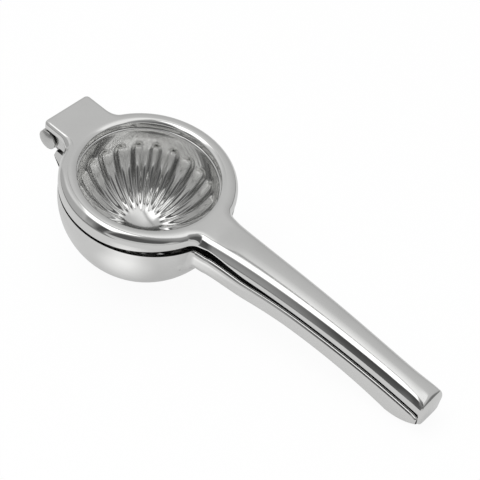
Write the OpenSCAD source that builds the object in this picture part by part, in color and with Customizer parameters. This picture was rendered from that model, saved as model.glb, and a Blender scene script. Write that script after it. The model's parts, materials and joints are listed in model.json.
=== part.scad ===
// Hinged lemon squeezer: a ring with a fluted press cup folds down into a bowl.
// Each piece is shaped in the arm's frame, whose origin is the centre of the
// ring's top face with +X towards the grips. place() then stands it on a table,
// where it leans on the edge of the bowl's base and on the lower grip.

/* [Ring] */
// Outer radius of the upper ring
ring_r = 42.4; // [38:0.2:50]
// Width of the ring's top face, from its opening to its outer wall
ring_w = 8.3; // [7.6:0.1:11]
// Depth of the ring's skirt below its top face
ring_skirt = 8.6; // [7.6:0.1:10]
// Rounding of the ring's and the upper grip's outer edges
edge_r = 5.4; // [3:0.1:5.6]
// Rounding of the ring's inner edge
lip_r = 1.3; // [0.6:0.1:1.5]
// Depth of the ring's inner collar
collar_d = 4; // [3:0.1:5]
// Sheet thickness of the upper arm
arm_t = 1.6; // [1:0.1:2]

/* [Press cup] */
// Sheet thickness of the press cup
cup_t = 1.2; // [0.8:0.1:1.8]
// How far the cup's wall stands inside the ring's opening
cup_inset = 0.7; // [0.4:0.1:1.5]
// Number of flutes around the cup
flutes = 22; // [14:1:26]
// Depth of each flute
flute_d = 1.5; // [0.8:0.1:1.8]
// Turn of the first flute around the cup
flute_turn = 2.5; // [0:0.5:16]
// Angle below the cup's rim where the flutes begin
flute_start = 14; // [10:1:30]
// Radius of the smooth disc at the cup's bottom
disc_r = 10; // [7:0.5:14]

/* [Bowl] */
// How far the bowl's wall stands inside the ring's outer wall
bowl_inset = 0.2; // [0:0.1:1]
// Gap between the ring's skirt and the bowl's rim
bowl_gap = 2; // [1:0.1:3]
// Height of the straight wall between the bowl's rim and its round part
bowl_wall = 3.6; // [1:0.2:8]
// Sheet thickness of the bowl
bowl_t = 1.6; // [1:0.1:2.4]
// Radius of the bowl's flat base
base_r = 17; // [15.5:0.5:22]
// Diameter of the drain holes
hole_d = 4; // [2.5:0.1:5]
// Spacing between the circles of drain holes
hole_pitch = 6.2; // [5.8:0.1:6.4]
// Number of circles of drain holes
hole_circles = 2; // [1:1:2]

/* [Grips] */
// Length from the ring's centre to the tip of the grips
reach = 170.4; // [155:0.2:195]
// Half width of the grips at the root
grip_w0 = 12; // [11:0.1:13]
// Half width at one quarter of the way
grip_w1 = 9.9; // [9:0.1:11.5]
// Half width at the middle
grip_w2 = 8.7; // [8:0.1:10.5]
// Half width at three quarters of the way
grip_w3 = 7.8; // [7.2:0.1:10]
// Half width near the tip
grip_w4 = 8.5; // [7.5:0.1:11]
// Height of the top face at the root
top_z0 = -0.8; // [-1.5:0.1:0]
// Height of the top face at one quarter of the way
top_z1 = 1.8; // [0:0.1:2.4]
// Height of the top face at the middle
top_z2 = 2.6; // [0.5:0.1:3.2]
// Height of the top face at three quarters of the way
top_z3 = 1.6; // [0:0.1:2.4]
// Height of the top face near the tip
top_z4 = 0; // [-1:0.1:1.5]
// How much the top face is crowned
crown = 0.5; // [0.1:0.1:1]
// Depth of the upper grip's walls
grip_d = 5.7; // [5:0.1:7]
// How much shallower those walls are at the root
root_rise = 1.3; // [0:0.1:1.5]
// Gap between the grips at the root
gap_root = 4.2; // [2:0.1:5]
// Gap between the grips along their far half
gap_far = 1.25; // [0.6:0.05:2]
// Depth of the lower grip at the root
low_d0 = 12.6; // [10:0.1:15]
// Depth of the lower grip at one third of the way
low_d1 = 13.1; // [10:0.1:16]
// Depth of the lower grip at two thirds of the way
low_d2 = 14; // [11:0.1:17]
// Depth of the lower grip where its nose begins
low_d3 = 16; // [13:0.1:19]
// Rounding of the lower grip's edges
low_edge_r = 4.8; // [3:0.1:5]
// Sheet thickness of the lower grip
low_t = 1.6; // [1:0.1:2]
// Distance from the tip to where the lower grip's nose begins to rise
nose_l = 17.4; // [14:0.2:19]
// Length of the quarter ellipse that the nose follows
nose_r = 20.2; // [19.2:0.2:26]
// Height of the quarter ellipse that the nose follows
nose_h = 16; // [10:0.5:18]
// Depth of the upper grip's end wall, which covers the nose
end_d = 12.6; // [10:0.1:14]
// Rounding of the corners at the tip, seen from above
tip_r = 4.6; // [1.5:0.1:5]
// Fillet between the ring and the grips
root_fillet = 5; // [3:0.5:8]

/* [Hinge tab] */
// Length of the hinge tab behind the ring
tab_l = 14.2; // [12.6:0.1:18]
// Half width of the tab at its end
tab_w = 14.5; // [13:0.1:16]
// How much narrower the tab is at its root, on each side
tab_waist = 0; // [0:0.1:1]
// Depth of the tab's walls
tab_d = 3.8; // [3.2:0.1:4.2]
// Thickness of the tab's walls
tab_t = 1.2; // [0.8:0.1:1.6]
// Rounding of the tab's top edges
tab_edge_r = 1.4; // [0.8:0.1:1.5]
// Rounding of the tab's corners, seen from above
tab_corner_r = 2.4; // [1.8:0.1:4]
// Fillet between the tab and the ring
tab_fillet = 8; // [3:0.5:8]

/* [Hinge] */
// Distance of the pin's axis from the tab's end
pin_in = 3.6; // [2.4:0.1:4.4]
// Depth of the pin's axis below the ring's top face
pin_drop = 10.2; // [9.8:0.1:11]
// Radius of the pin's shaft
pin_r = 2.4; // [1.5:0.1:2.6]
// Radius of the pin's head
head_r = 5.1; // [4:0.1:5.3]
// Height of the pin's head
head_h = 2; // [1.6:0.1:2.6]
// Radius of the washers
washer_r = 4.2; // [3.4:0.1:4.8]
// Thickness of the washers
washer_t = 0.7; // [0.4:0.1:1.2]
// Radius of the cap on the pin's far end
cap_r = 4.6; // [4:0.1:5.3]
// Height of the cap on the pin's far end
cap_h = 3.2; // [2.4:0.1:4]
// Radius of the ears' round ends
ear_r = 5.3; // [4.6:0.1:5.6]
// Thickness of the ears
ear_t = 2.4; // [1.6:0.1:3]
// Depth of the ears' straight edge below the pin's axis
ear_drop = 1.6; // [0:0.1:2]
// Thickness of the bracket's web under the tab
web_t = 1.8; // [1:0.1:2]
// Outer radius of the lower bracket's knuckle
knuckle_r = 4.2; // [3.6:0.1:4.4]
// Height of the notch between the ears and the lower bracket
notch_h = 2.8; // [2:0.1:4]
// Distance from the pin's axis to the lower bracket's shoulder
shoulder_l = 5.2; // [4.8:0.1:6]
// Height of the shoulder's front
shoulder_h = 4; // [3:0.1:5]
// Height of the lower bracket along the bowl
stem_h = 15.5; // [13:0.5:18]

/* [Clearances] */
// Running clearance around the pin in the knuckle
pin_clear = 0.05; // [0.02:0.01:0.1]
// Clearance between the ears and the knuckle, on each side
side_clear = 0.3; // [0.2:0.05:0.6]
// Clearance between the ring and the upper bracket
ear_clear = 0.6; // [0.4:0.1:1.2]
// Clearance between the nose and the upper grip's end wall
tip_clear = 0.3; // [0.2:0.05:0.5]
// Joint left where two pieces of one arm meet
seam = 0.02; // [0.01:0.01:0.05]

/* [Hidden] */
$fn = 96;

// ring, cup and bowl
open_r = ring_r - ring_w;
cup_r = open_r - cup_inset;
cup_top = -collar_d - seam;
bowl_r = ring_r - bowl_inset;
rim_z = -ring_skirt - bowl_gap;
ball_z = rim_z - bowl_wall;
base_z = ball_z - sqrt(bowl_r * bowl_r - base_r * base_r);

// grips: the root ends at root_x, and the values along them stand at stations
root_x = ring_r + 5.6;
nose_x = reach - nose_l;
low_reach = reach - arm_t - tip_clear;
last_x = reach - 4;
grip_x = [for (i = [0:4]) root_x + (last_x - root_x) * i / 4];
low_x = [for (i = [0:3]) root_x + (nose_x - root_x) * i / 3];
grip_ws = [grip_w0, grip_w1, grip_w2, grip_w3, grip_w4];
top_zs = [top_z0, top_z1, top_z2, top_z3, top_z4];
low_ds = [low_d0, low_d1, low_d2, low_d3];
gap_l = 66;
end_r = edge_r + crown;

// hinge
tab_end = ring_r + tab_l;
pin_x = -tab_end + pin_in;
pin_z = -pin_drop;
ear_y = tab_w - tab_waist - tab_t - seam;
knuckle_y = ear_y - ear_t - side_clear;
ear_z = pin_z - ear_drop;
ear_end = -sqrt(ring_r * ring_r - pow(ear_y - ear_t, 2)) - ear_clear;
bracket_x = -tab_end + tab_t + seam;
shoulder_x = pin_x + shoulder_l;
shoulder_z = ear_z - notch_h;

// value at x of the smooth curve through the values v at the places p
function product(f, i = 0) = i == len(f) ? 1 : f[i] * product(f, i + 1);
function sum(f, i = 0) = i == len(f) ? 0 : f[i] + sum(f, i + 1);
function curve(x, p, v) = sum([for (i = [0:len(p) - 1])
    v[i] * product([for (j = [0:len(p) - 1]) if (j != i) (x - p[j]) / (p[i] - p[j])])]);
function clamp(t) = max(0, min(1, t));
function ease(t) = clamp(t) * clamp(t) * (3 - 2 * clamp(t));
function mix(a, b, t) = a + (b - a) * t;
// what a rounded corner of radius r takes away at the distance d from its end
function rounded(r, d) = r - sqrt(max(0, r * r - pow(max(0, r - max(d, 0)), 2)));
// what a fillet of radius r, which ends at x = end, adds at x
function filleted(r, end, x) = x >= end ? 0 : rounded(r, r - (end - x));

// half width of the grips: the plain outline, its fillet to the ring and its tip
function plain_w(x) = curve(max(x, ring_r + 1.5), grip_x, grip_ws);
fillet_x = sqrt(pow(ring_r + root_fillet, 2) - pow(plain_w(ring_r) + root_fillet, 2));
touch_x = fillet_x * ring_r / (ring_r + root_fillet);
function grip_w(x) = plain_w(x) - rounded(tip_r, reach - x) + filleted(root_fillet, fillet_x, max(x, touch_x));

// heights along the grips, each eased from the ring's level to the grip's own
function rooted(ring_level, grip_level, x) = mix(ring_level, grip_level, ease((x - touch_x) / (root_x - touch_x)));
function arch_z(x) = curve(max(x, root_x), grip_x, top_zs);
function top_z(x) = rooted(-seam, arch_z(x), x);
function cut_z(x) = rooted(-ring_skirt, arch_z(x) - grip_d + root_rise * ease((root_x + 15 - x) / 15), x);
function grip_gap(x) = rooted(bowl_gap, mix(gap_root, gap_far, ease((x - ring_r) / gap_l)), x);
function rim_at(x) = cut_z(x) - grip_gap(x);
function low_depth(x) = curve(max(x, root_x), low_x, low_ds);
function nose_rise(x) = nose_h * (1 - sqrt(max(0, 1 - pow(max(0, x - nose_x) / nose_r, 2))));
function low_z(x) = rim_at(min(x, nose_x)) - low_depth(min(x, nose_x)) + nose_rise(x);

// The table touches the edge of the base and the nose. With the nose's ellipse
// scaled to a circle, that line is the tangent from a point to a circle.
squash = nose_r / nose_h;
rest_x = nose_x - base_r;
rest_z = (low_z(nose_x) + nose_h - base_z) * squash;
tilt = atan(tan(atan2(rest_z, rest_x) - asin(nose_r / norm([rest_x, rest_z]))) / squash);
table_z = base_z * cos(tilt) - base_r * sin(tilt);
tip_end = (reach - end_r) * cos(tilt) + (top_z(reach) - edge_r) * sin(tilt) + end_r;
tail_end = pin_x * cos(tilt) + pin_z * sin(tilt) - ear_r;

module place() {
    translate([-(tip_end + tail_end) / 2, 0, -table_z])
        rotate([0, tilt, 0])
            children();
}

// closed solid through a list of rings with equal numbers of points, each
// anticlockwise as seen from the last ring's end
module loft(rings) {
    n = len(rings[0]);
    m = len(rings);
    points = [for (r = rings, p = r) p];
    first_cap = [[for (i = [0:n - 1]) i]];
    last_cap = [[for (i = [n - 1:-1:0]) (m - 1) * n + i]];
    near_halves = [for (j = [0:m - 2], i = [0:n - 1]) [j * n + i, (j + 1) * n + i, j * n + (i + 1) % n]];
    far_halves = [for (j = [1:m - 1], i = [0:n - 1]) [j * n + i, j * n + (i + 1) % n, (j - 1) * n + (i + 1) % n]];
    polyhedron(points = points, faces = concat(first_cap, last_cap, near_halves, far_halves));
}

// whole ring of points at x, from the [y, z] points of one side
function both_sides(x, side) = concat([for (p = side) [x, p[0], p[1]]],
                                      [for (i = [len(side) - 1:-1:0]) [x, -side[i][0], side[i][1]]]);
// least flat stretch that is left beside a rounded edge
flat_min = 0.3;
// one side of an arched section: wall from lo up, edge of radius r, face at hi
function arched(w, lo, hi, r, rise, cap) = concat(
    [[w, lo]],
    [for (a = [0:15:90]) [w - r + r * cos(a), min(cap, hi - r + r * sin(a))]],
    [for (s = [0.66, 0.33]) [(w - r) * s, min(cap, hi + rise * (1 - s * s))]]);
// section of the upper grip at x: its outside, or its hollow a sheet within
function upper_section(x, within, lo) =
    let (hi = top_z(x) - within,
         r = min(edge_r, top_z(x) - cut_z(x) - flat_min, grip_w(x) - flat_min) - within,
         cap = hi + crown - rounded(end_r - within, reach - within - x))
    both_sides(x, arched(grip_w(x) - within, lo, hi, r, crown * ease((x - ring_r) / 20), cap));
// section of the lower grip at x: its outside, or its hollow a sheet within
function lower_section(x, within, hi) =
    let (r = low_edge_r - within, w = grip_w(x) - within, lo = low_z(x) + within)
    both_sides(x, concat([[-w, hi]], [for (a = [0:15:90]) [-w + r - r * cos(a), lo + r - r * sin(a)]]));

// places of the sections: from the ring's channel on, close together at the fillet and at the tips
channel_x = open_r + arm_t + seam;
root_steps = [for (i = [0:4]) mix(touch_x, fillet_x, i / 4)];
upper_steps = concat(root_steps, [for (i = [1:16]) mix(fillet_x, reach - end_r, i / 16)]);
lower_steps = concat(root_steps, [for (i = [1:14]) mix(fillet_x, nose_x, i / 14)]);

module upper_grip() {
    wall_a = asin(1 - arm_t / end_r);
    tip_steps = [for (i = [1:6]) reach - end_r + end_r * sin(i * 15)];
    wall_steps = [for (i = [0:5]) reach - end_r + end_r * sin(mix(wall_a, 90, i / 5))];
    hollow_steps = [for (i = [1:5]) reach - end_r + (end_r - arm_t) * sin(i * 18)];
    difference() {
        union() {
            loft([for (x = concat([channel_x], upper_steps, tip_steps)) upper_section(x, 0, cut_z(x))]);
            loft([for (x = wall_steps) upper_section(x, 0, -end_d)]);
        }
        loft([for (x = concat([channel_x + 1], upper_steps, hollow_steps)) upper_section(x, arm_t, -end_d - 1)]);
    }
}

// opening through the ring's wall, from the ring's channel into the grip's
module grip_way() {
    way_w = plain_w(root_x) - 2 * arm_t;
    translate([channel_x, -way_w, -ring_skirt - 1])
        cube([ring_r + 1 - channel_x, 2 * way_w, ring_skirt - arm_t]);
}

// half width of the tab at the distance d behind the ring's centre
function tab_plain(d) = tab_w - tab_waist * clamp((tab_end - tab_corner_r - d) / (tab_l - tab_corner_r));
tab_fillet_x = sqrt(pow(ring_r + tab_fillet, 2) - pow(tab_plain(ring_r) + tab_fillet, 2));
tab_touch_x = tab_fillet_x * ring_r / (ring_r + tab_fillet);
function tab_half(d) = tab_plain(d) - rounded(tab_corner_r, tab_end - d)
    + filleted(tab_fillet, tab_fillet_x, max(d, tab_touch_x));
function tab_low(d) = mix(-ring_skirt, -tab_d, ease((d - tab_touch_x) / 3));
// the tab's edges are as round as the ring's where they leave it
function tab_edge(d) = min(mix(edge_r, tab_edge_r, ease((d - tab_touch_x) / (tab_fillet_x + 1 - tab_touch_x))),
                           -tab_low(d) - flat_min);
function tab_section(d) = both_sides(-d, arched(tab_half(d), tab_low(d), -seam, tab_edge(d), 0,
                                                -seam - rounded(tab_edge_r, tab_end - d)));

module tab() {
    end_steps = [for (i = [6:-1:0]) tab_end - tab_corner_r + tab_corner_r * sin(i * 15)];
    fillet_steps = [for (i = [5:-1:0]) mix(tab_touch_x, tab_fillet_x, i / 5)];
    difference() {
        loft([for (d = concat(end_steps, fillet_steps, [channel_x])) tab_section(d)]);
        translate([-tab_end + tab_t, -ear_y - seam, -ring_skirt - 1])
            cube([tab_end - tab_t - open_r, 2 * (ear_y + seam), ring_skirt + 1 - arm_t]);
    }
}

module quarter(r) {
    intersection() {
        circle(r = r);
        square(r);
    }
}

// half section of the ring, with its two rounded edges
module ring_section() {
    translate([open_r, -collar_d])
        square([lip_r, collar_d - lip_r]);
    translate([open_r + lip_r, -lip_r])
        mirror([1, 0])
            quarter(lip_r);
    translate([open_r + lip_r, -collar_d])
        square([ring_w - lip_r - edge_r, collar_d]);
    translate([ring_r - edge_r, -edge_r])
        quarter(edge_r);
    translate([ring_r - edge_r, -ring_skirt])
        square([edge_r, ring_skirt - edge_r]);
}

// half section of the channel under the ring
module channel_section() {
    translate([open_r + arm_t, -ring_skirt - 1])
        square([ring_w - arm_t - edge_r, ring_skirt + 1 - arm_t]);
    translate([ring_r - edge_r, -edge_r])
        quarter(edge_r - arm_t);
    translate([ring_r - edge_r, -ring_skirt - 1])
        square([edge_r - arm_t, ring_skirt + 1 - edge_r]);
}

module upper_arm() {
    color("silver")
        place()
            difference() {
                union() {
                    rotate_extrude()
                        ring_section();
                    upper_grip();
                    tab();
                }
                rotate_extrude()
                    channel_section();
                grip_way();
            }
}

// depth of the flutes at the angle a below the cup's rim
function flute_depth(a) = flute_d * ease((a - flute_start) / 8) * clamp((cup_r * cos(a) - disc_r) / 9);
// ring of the cup's surface of radius r at the angle a below its rim
function cup_ring(r, a) = [for (i = [0:flutes * 4 - 1])
    let (turn = flute_turn + i * 90 / flutes, s = r + flute_depth(a) * (0.5 - 0.5 * cos(i * 90)))
    [s * cos(a) * cos(turn), s * cos(a) * sin(turn), -s * sin(a)]];
function flange_ring(r, z) = [for (i = [0:flutes * 4 - 1])
    let (turn = flute_turn + i * 90 / flutes) [r * cos(turn), r * sin(turn), z]];

module press_cup() {
    disc_a = acos(disc_r / cup_r);
    angles = concat([5, 10, flute_start, flute_start + 4, flute_start + 8],
                    [for (i = [1:7]) mix(flute_start + 8, disc_a, i / 7)], [disc_a / 2 + 45]);
    outside = [for (i = [len(angles) - 1:-1:0]) cup_ring(cup_r + cup_t, angles[i])];
    inside = [for (a = angles) cup_ring(cup_r, a)];
    flange = [flange_ring(cup_r + cup_t, -cup_t), flange_ring(open_r + arm_t, -cup_t),
              flange_ring(open_r + arm_t, 0), flange_ring(cup_r, 0)];
    color("gainsboro")
        place()
            translate([0, 0, cup_top])
                loft(concat(outside, flange, inside));
}

// half section of the bowl's outside, or of its inside a sheet within
module bowl_section(within, top) {
    intersection() {
        union() {
            translate([0, ball_z])
                circle(r = bowl_r - within);
            translate([0, ball_z])
                square([bowl_r - within, top - ball_z]);
        }
        translate([0, base_z + within])
            square([bowl_r + 1, top - base_z - within]);
    }
}

module bowl() {
    color("lightgray")
        place()
            difference() {
                rotate_extrude()
                    difference() {
                        bowl_section(0, rim_z);
                        bowl_section(bowl_t, rim_z + 1);
                    }
                for (k = [1:hole_circles], i = [0:6 * k - 1])
                    rotate([0, 0, i * 60 / k])
                        translate([hole_pitch * k, 0, base_z - 1])
                            cylinder(d = hole_d, h = bowl_t + 2);
            }
}

module lower_grip() {
    nose_steps = [for (i = [1:7]) mix(nose_x, low_reach, sin(i * 90 / 7))];
    hollow_steps = [for (i = [1:5]) mix(nose_x, low_reach - low_t, i / 5)];
    color("silver")
        place()
            difference() {
                loft([for (x = concat([channel_x], lower_steps, nose_steps)) lower_section(x, 0, rim_at(x))]);
                loft([for (x = concat([channel_x - 1], lower_steps, hollow_steps)) lower_section(x, low_t, rim_at(x) + 3)]);
                rotate_extrude()
                    bowl_section(-seam, -seam);
            }
}

// flat plate from y0 to y1 with the outline of its child in the XZ plane
module plate(y0, y1) {
    translate([0, y1, 0])
        rotate([90, 0, 0])
            linear_extrude(height = y1 - y0)
                children();
}

// moves what is drawn along +Z onto the pin's axis at y, facing -Y
module on_pin(y) {
    translate([pin_x, y, pin_z])
        rotate([90, 0, 0])
            children();
}

// low dome of radius r and height h on a straight edge of the height step
module dome(r, h, step) {
    ball = (r * r + pow(h - step, 2)) / (2 * (h - step));
    rotate_extrude()
        intersection() {
            square([r, h]);
            translate([0, h - ball])
                circle(r = ball);
        }
}

module ear_outline() {
    translate([pin_x, pin_z])
        circle(r = ear_r);
    translate([bracket_x, ear_z])
        square([ear_end - bracket_x, -arm_t - seam - ear_z]);
}

module upper_bracket() {
    color("lightgray")
        place()
            difference() {
                union() {
                    translate([bracket_x, -ear_y, -arm_t - seam - web_t])
                        cube([-ring_r - ear_clear - bracket_x, 2 * ear_y, web_t]);
                    plate(-ear_y, -ear_y + ear_t)
                        ear_outline();
                    plate(ear_y - ear_t, ear_y)
                        ear_outline();
                }
                on_pin(ear_y + 1)
                    cylinder(r = pin_r + seam, h = 2 * ear_y + 2);
            }
}

// The stem's front leaves the shoulder, slopes back and meets the bowl.
module stem_outline() {
    polygon([[shoulder_x, shoulder_z],
             [shoulder_x - 1.3, shoulder_z - shoulder_h],
             [shoulder_x + 3.3, shoulder_z - stem_h * 2 / 3],
             [shoulder_x + 11.3, shoulder_z - stem_h],
             [-open_r, shoulder_z - stem_h],
             [-open_r, shoulder_z]]);
}

// The neck joins the knuckle to the shoulder.
module neck_outline() {
    neck_a = 50;
    polygon([[pin_x - knuckle_r * cos(neck_a), pin_z - knuckle_r * sin(neck_a)],
             [pin_x + knuckle_r * cos(neck_a), pin_z + knuckle_r * sin(neck_a)],
             [shoulder_x + 2, shoulder_z - 1],
             [shoulder_x - 1, shoulder_z - shoulder_h + 1]]);
}

module lower_bracket() {
    color("silver")
        place()
            difference() {
                union() {
                    plate(-ear_y, ear_y)
                        stem_outline();
                    plate(-knuckle_y, knuckle_y)
                        neck_outline();
                    on_pin(knuckle_y)
                        cylinder(r = knuckle_r, h = 2 * knuckle_y);
                }
                on_pin(ear_y)
                    cylinder(r = pin_r + pin_clear, h = 2 * ear_y);
                rotate_extrude()
                    bowl_section(-seam, rim_z);
            }
}

module hinge_pin() {
    shaft_l = 2 * (ear_y + washer_t) + cap_h / 2;
    color("gray")
        place() {
            on_pin(ear_y + washer_t + cap_h / 2)
                cylinder(r = pin_r, h = shaft_l + head_h / 2);
            on_pin(-ear_y - washer_t)
                dome(head_r, head_h, head_h / 2);
        }
}

module washer(y) {
    color("dimgray")
        place()
            on_pin(y - seam)
                difference() {
                    cylinder(r = washer_r, h = washer_t - 2 * seam);
                    translate([0, 0, -1])
                        cylinder(r = pin_r + seam, h = washer_t + 2);
                }
}

module head_washer() {
    washer(-ear_y);
}

module cap_washer() {
    washer(ear_y + washer_t);
}

module pin_cap() {
    color("gray")
        place()
            translate([pin_x, ear_y + washer_t, pin_z])
                rotate([-90, 0, 0])
                    difference() {
                        dome(cap_r, cap_h, cap_h / 2);
                        translate([0, 0, -1])
                            cylinder(r = pin_r + seam, h = 1 + cap_h / 2 + seam);
                    }
}

upper_arm();
press_cup();
upper_bracket();
bowl();
lower_grip();
lower_bracket();
hinge_pin();
head_washer();
cap_washer();
pin_cap();
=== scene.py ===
"""A hinged lemon squeezer of polished stainless steel, closed, leaning on its bowl and on its lower grip."""

import json
import math

import bmesh
import bpy
from mathutils import Matrix, Vector


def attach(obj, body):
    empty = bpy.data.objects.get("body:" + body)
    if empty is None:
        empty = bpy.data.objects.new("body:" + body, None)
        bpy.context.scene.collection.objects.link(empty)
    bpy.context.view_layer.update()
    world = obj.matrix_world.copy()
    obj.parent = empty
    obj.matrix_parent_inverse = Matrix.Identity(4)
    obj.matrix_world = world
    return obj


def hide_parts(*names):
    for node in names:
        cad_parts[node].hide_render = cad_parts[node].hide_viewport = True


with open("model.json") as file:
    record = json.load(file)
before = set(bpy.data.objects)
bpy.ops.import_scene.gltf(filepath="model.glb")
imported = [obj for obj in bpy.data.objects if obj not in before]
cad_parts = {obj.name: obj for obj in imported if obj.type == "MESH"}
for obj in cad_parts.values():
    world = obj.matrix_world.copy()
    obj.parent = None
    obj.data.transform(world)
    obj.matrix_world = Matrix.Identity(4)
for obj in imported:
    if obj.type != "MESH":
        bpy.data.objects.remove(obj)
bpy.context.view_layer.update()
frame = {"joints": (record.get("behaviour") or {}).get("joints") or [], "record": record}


# ---------------------------------------------------------------------------
# Upper arm
# One heavy steel pressing: the ring that carries the press cup, the hinge tab behind it and the arched upper
# grip. Its edges are drawn over a wide radius, its walls hang down as a skirt, and its outside is polished.

# Both arms are drawn in millimetres in the arms' own frame: its origin is the centre of the ring's top face,
# and +X runs to the grips. The hinge and the bowl's base say where that frame lies.
PIN_AXIS = Vector((-53.0, 0.0, -10.2))
MM = 0.001
base_out = Vector(frame["record"]["mounts"][0]["axis"])
lean = math.atan2(-base_out.x, -base_out.z)
hinge_at = Vector(frame["joints"][0]["pos_m"])
arm_frame = (Matrix.Translation(hinge_at) @ Matrix.Rotation(lean, 4, "Y") @ Matrix.Scale(MM, 4)
             @ Matrix.Translation(-PIN_AXIS))

RING_R = 42.39
RING_W = 8.3
SKIRT = 8.6
SKIRT_RISE_X = 8.0
SKIRT_RISE_POWER = 1.5
LIP_R = 4.2
LIP_TIGHT_R = 0.8
COLLAR = 4.0
SHEET = 1.6
OPEN_R = RING_R - RING_W

# The grip's half width and the height of its top face at five places from its root to just before its tip.
REACH = 170.4
RING_FLAT_X = 39.4
ROOT_X = RING_R + 5.6
GRIP_END_X = REACH - 4
GRIP_X = [ROOT_X + (GRIP_END_X - ROOT_X) * i / 4 for i in range(5)]
GRIP_W = [12.2, 10.12, 8.95, 8.1, 8.15]
TOP_Z = [-0.3, 1.65, 2.4, 1.45, -0.45]
SHOULDER_DROP = 0.1
CROWN_SLOPE = math.radians(11.0)
CROWN_RISE_L = 20.0
TIP_DROP = 0.3
TIP_DROP_L = 4.0
GRIP_D = 5.8
ROOT_RISE = 2.2
ROOT_RISE_L = 24.0
ROOT_FILLET = 5.0
TIP_R = 2.0
TIP_LEAN_L = 16.0
TIP_EDGE_X = REACH - 17
TIP_EDGE_L = 11.0

# The nose: how the end wall's foot, and the lower grip under it, rise towards the tip.
NOSE_X = REACH - 17.4
NOSE_L = 20.2
NOSE_H = 16.0
NOSE_Z = -22.05
NOSE_EDGE_R = 4.8
END_WALL_X = REACH - 1.7
END_WALL_L = 0.5

TAB_END = RING_R + 14.2
TAB_W = 14.5
TAB_D = 3.8
TAB_CORNER_R = 2.4
TAB_FILLET = 8.0
HEEL_L = 3.0

# An edge turns from its wall over the radius r, is tighter by the factor bend above 54 degrees, and from the
# angle shoulder on eases into the top face with a radius that is wider by the factor ease_out.
RING_EDGE = {"r": 5.1, "bend": 0.8, "shoulder": 80.0, "ease_out": 1.47}
GRIP_EDGE = {"r": 5.9, "bend": 0.93, "shoulder": 79.0, "ease_out": 1.3}
TIP_EDGE = {"r": 5.9, "bend": 0.65, "shoulder": 79.0, "ease_out": 1.0}
TAB_EDGE = {"r": 1.8, "bend": 1.0, "shoulder": 74.5, "ease_out": 1.0}
BEND_AT = 54.0


def clamp(t):
    return max(0.0, min(1.0, t))


def ease(t):
    t = clamp(t)
    return t * t * (3 - 2 * t)


def mix(a, b, t):
    return a + (b - a) * t


def curve(x, places, values):
    """The smooth curve through the values at the places."""
    total = 0.0
    for i, value in enumerate(values):
        for j, place in enumerate(places):
            if j != i:
                value *= (x - place) / (places[i] - place)
        total += value
    return total


def plain_w(x):
    """The grip's half width without its fillets."""
    return curve(x, GRIP_X, GRIP_W)


def rooted(ring_level, grip_level, x):
    """Goes over from the ring's level to the grip's along the grip's root."""
    return mix(ring_level, grip_level, ease((x - RING_FLAT_X) / (ROOT_X - RING_FLAT_X)))


def arch_z(x):
    return curve(max(x, ROOT_X), GRIP_X, TOP_Z)


def skirt_share(x):
    """0 where the skirt hangs at its full depth, and 1 where it has risen to the grip's walls."""
    return clamp((x - SKIRT_RISE_X) / (ROOT_X - SKIRT_RISE_X)) ** SKIRT_RISE_POWER


def cut_z(x):
    """Foot of the upper arm's walls: the skirt's foot rises towards the grip's root."""
    grip_x = max(x, ROOT_X)
    grip_foot = arch_z(grip_x) - GRIP_D + ROOT_RISE * ease((ROOT_X + ROOT_RISE_L - grip_x) / ROOT_RISE_L)
    return mix(-SKIRT, grip_foot, skirt_share(x))


def edge_run(edge, low, high):
    """How far an edge goes in and up between two angles of its normal above the wall's."""
    d = h = 0.0
    for start, end, r in ((0, BEND_AT, edge["r"]), (BEND_AT, edge["shoulder"], edge["r"] * edge["bend"]),
                          (edge["shoulder"], 90, edge["r"] * edge["ease_out"])):
        a, b = math.radians(max(start, low)), math.radians(min(end, high))
        if b > a:
            d += r * (math.cos(a) - math.cos(b))
            h += r * (math.sin(b) - math.sin(a))
    return d, h


def mixed_edge(first, second, t):
    return {key: mix(first[key], second[key], t) for key in first}


def side_edge(x):
    """The upper grip's edge at x: a little tighter at the tip."""
    return mixed_edge(GRIP_EDGE, TIP_EDGE, ease((x - TIP_EDGE_X) / TIP_EDGE_L))


def crown_slope(x):
    """Slope of the top face where it meets the edges."""
    return CROWN_SLOPE * ease((x - RING_R) / CROWN_RISE_L)


def top_z(x, y):
    """Height of the upper arm's top face: flat on the ring and the tab, crowned along the grip."""
    if x < RING_FLAT_X:
        return 0.0
    droop = TIP_DROP * clamp((x - tip_inner + TIP_DROP_L) / TIP_DROP_L) ** 2
    level = rooted(0.0, arch_z(x) - SHOULDER_DROP - droop, x)
    slope = crown_slope(x)
    if slope < 1e-4:
        return level
    half = plain_w(x) - edge_run(side_edge(x), 0, 90 - math.degrees(slope))[0]
    big_r = max(half / math.sin(slope), abs(y) + 1)
    return level + math.sqrt(big_r ** 2 - y ** 2) - math.sqrt(big_r ** 2 - half ** 2)


def arc_points(centre, radius, start, end, steps):
    """Points on an arc with their directions from its centre, angles in degrees."""
    found = []
    for i in range(steps + 1):
        a = math.radians(mix(start, end, i / steps))
        found.append((centre[0] + radius * math.cos(a), centre[1] + radius * math.sin(a),
                      math.cos(a), math.sin(a)))
    return found


class Station:
    """A place on the outline, with the inward normal, its edge, the wall's foot and its zone. Deeper in
    than the tip's corner radius its section leans by pull, so that sections near the tip meet in a mitre."""

    def __init__(self, x, y, nx, ny, edge, foot, zone, pull=(0, 0)):
        self.x, self.y, self.nx, self.ny = x, y, nx, ny
        self.edge, self.foot, self.zone, self.pull = edge, foot, zone, pull

    def inset(self, depth):
        past = max(0.0, depth - TIP_R)
        return self.x + self.nx * depth + self.pull[0] * past, self.y + self.ny * depth + self.pull[1] * past


def side_normal(x):
    """The inward normal of the grip's side."""
    slope = (plain_w(x + 0.01) - plain_w(x - 0.01)) / 0.02
    size = math.hypot(slope, 1)
    return slope / size, -1 / size


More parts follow.
